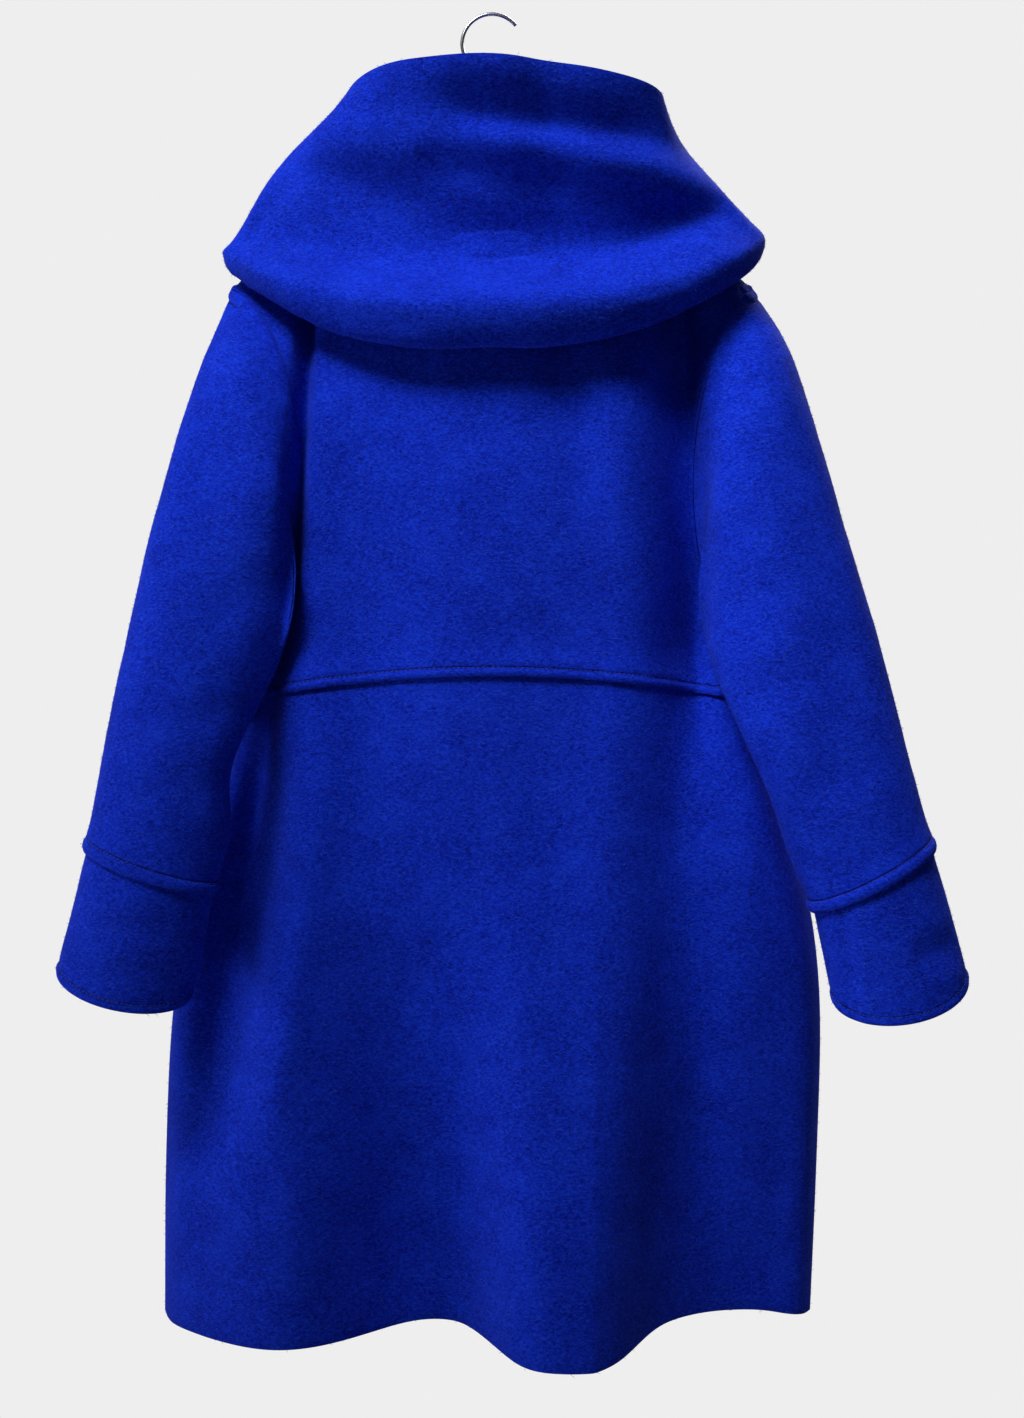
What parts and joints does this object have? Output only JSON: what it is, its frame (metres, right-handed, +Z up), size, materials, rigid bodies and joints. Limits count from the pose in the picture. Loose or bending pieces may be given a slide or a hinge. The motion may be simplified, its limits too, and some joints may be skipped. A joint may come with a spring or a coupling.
{
  "type": "hooded coat on a hanger",
  "caption": "Long wool coat with a hood lying down its back, lapped waist and cuff seams and a fluted hem, hung on a plain wooden hanger with a wire hook.",
  "frame": {"origin": "the point inside the top of the hook that a rail or nail bears on", "axes": "+Z up along the hang; the coat's front faces -Y and its back +Y; the wearer's left is +X"},
  "size_m": [0.7855, 0.2951, 1.1749],
  "materials": {
    "boiled_wool": "felted, matt",
    "hook_steel": "plain drawn wire",
    "bar_beech": "clear satin lacquer"
  },
  "bodies": {
    "root": {"back_bodice": "boiled_wool", "back_skirt": "boiled_wool", "front_left": "boiled_wool", "front_right": "boiled_wool", "sleeve_left": "boiled_wool", "sleeve_right": "boiled_wool", "cuff_left": "boiled_wool", "cuff_right": "boiled_wool", "hood": "boiled_wool", "hanger_hook": "hook_steel", "hanger_bar": "bar_beech"}
  },
  "joints": []
}
